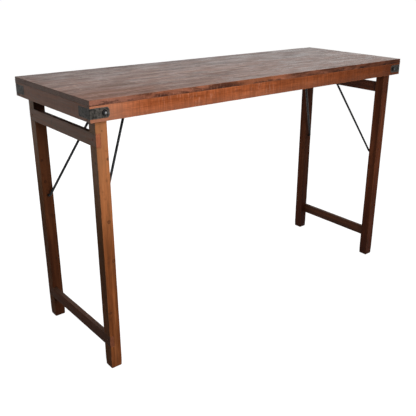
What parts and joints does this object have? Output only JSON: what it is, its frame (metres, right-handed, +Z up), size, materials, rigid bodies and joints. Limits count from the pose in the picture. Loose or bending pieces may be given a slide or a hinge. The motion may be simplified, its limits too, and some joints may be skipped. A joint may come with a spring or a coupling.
{
  "type": "folding bar table",
  "caption": "Narrow bar-height table with a plank top, aprons and iron corner straps, on pivoting leg frames that fold under the top once their bent-rod braces are unhooked.",
  "frame": {"origin": "on the floor under the middle of the top", "axes": "+X along the table's length, +Y from front to rear, +Z up"},
  "size_m": [1.701, 0.6176, 1.06],
  "materials": {
    "top_wood": "worn grey-brown hardwood, waxed satin",
    "apron_wood": "orange-brown hardwood, sawn face, waxed",
    "leg_wood": "red-brown hardwood, waxed satin",
    "peg_wood": "dark hardwood end grain",
    "strap_iron": "blackened flat iron, mottled",
    "bolt_iron": "blackened iron, rubbed bright on the head",
    "rod_iron": "black iron rod, satin"
  },
  "bodies": {
    "table_top": {"top_plank_1": "top_wood", "top_plank_2": "top_wood", "top_plank_3": "top_wood", "top_plank_4": "top_wood", "top_plank_5": "top_wood", "front_apron": "apron_wood", "rear_apron": "apron_wood", "left_end_apron": "apron_wood", "right_end_apron": "apron_wood", "middle_batten": "apron_wood", "left_catch_batten": "apron_wood", "right_catch_batten": "apron_wood", "left_brace_hook": "strap_iron", "right_brace_hook": "strap_iron", "front_left_strap": "strap_iron", "rear_left_strap": "strap_iron", "front_right_strap": "strap_iron", "rear_right_strap": "strap_iron", "front_left_pivot_bolt": "bolt_iron", "rear_left_pivot_bolt": "bolt_iron", "front_right_pivot_bolt": "bolt_iron", "rear_right_pivot_bolt": "bolt_iron", "front_left_spacer": "bolt_iron", "rear_left_spacer": "bolt_iron", "front_right_spacer": "bolt_iron", "rear_right_spacer": "bolt_iron", "front_left_washer": "bolt_iron", "rear_left_washer": "bolt_iron", "front_right_washer": "bolt_iron", "rear_right_washer": "bolt_iron", "front_left_nut": "bolt_iron", "rear_left_nut": "bolt_iron", "front_right_nut": "bolt_iron", "rear_right_nut": "bolt_iron"},
    "left_frame": {"front_left_leg": "leg_wood", "rear_left_leg": "leg_wood", "left_rail": "leg_wood", "left_stretcher": "leg_wood", "front_left_rail_peg": "peg_wood", "rear_left_rail_peg": "peg_wood", "front_left_stretcher_peg": "peg_wood", "rear_left_stretcher_peg": "peg_wood"},
    "right_frame": {"front_right_leg": "leg_wood", "rear_right_leg": "leg_wood", "right_rail": "leg_wood", "right_stretcher": "leg_wood", "front_right_rail_peg": "peg_wood", "rear_right_rail_peg": "peg_wood", "front_right_stretcher_peg": "peg_wood", "rear_right_stretcher_peg": "peg_wood"},
    "left_brace": {"left_brace": "rod_iron"},
    "right_brace": {"right_brace": "rod_iron"}
  },
  "joints": [
    {"name": "left_frame_fold", "type": "hinge", "parent": "table_top", "child": "left_frame", "pos_m": [-0.7955, 0, 1.015], "axis": [0, -1, 0], "range_deg": [0, 85]},
    {"name": "right_frame_fold", "type": "hinge", "parent": "table_top", "child": "right_frame", "pos_m": [0.7955, 0, 1.015], "axis": [0, 1, 0], "range_deg": [0, 90]},
    {"name": "left_brace_swing", "type": "hinge", "parent": "left_frame", "child": "left_brace", "pos_m": [-0.7955, 0, 0.576], "axis": [0, 1, 0], "range_deg": [0, 153]},
    {"name": "right_brace_swing", "type": "hinge", "parent": "right_frame", "child": "right_brace", "pos_m": [0.7955, 0, 0.576], "axis": [0, -1, 0], "range_deg": [0, 153]}
  ],
  "couplings": [
    {"joint": "left_brace_swing", "follows": "left_frame_fold", "ratio": 1.8},
    {"joint": "right_brace_swing", "follows": "right_frame_fold", "ratio": 1.7}
  ]
}
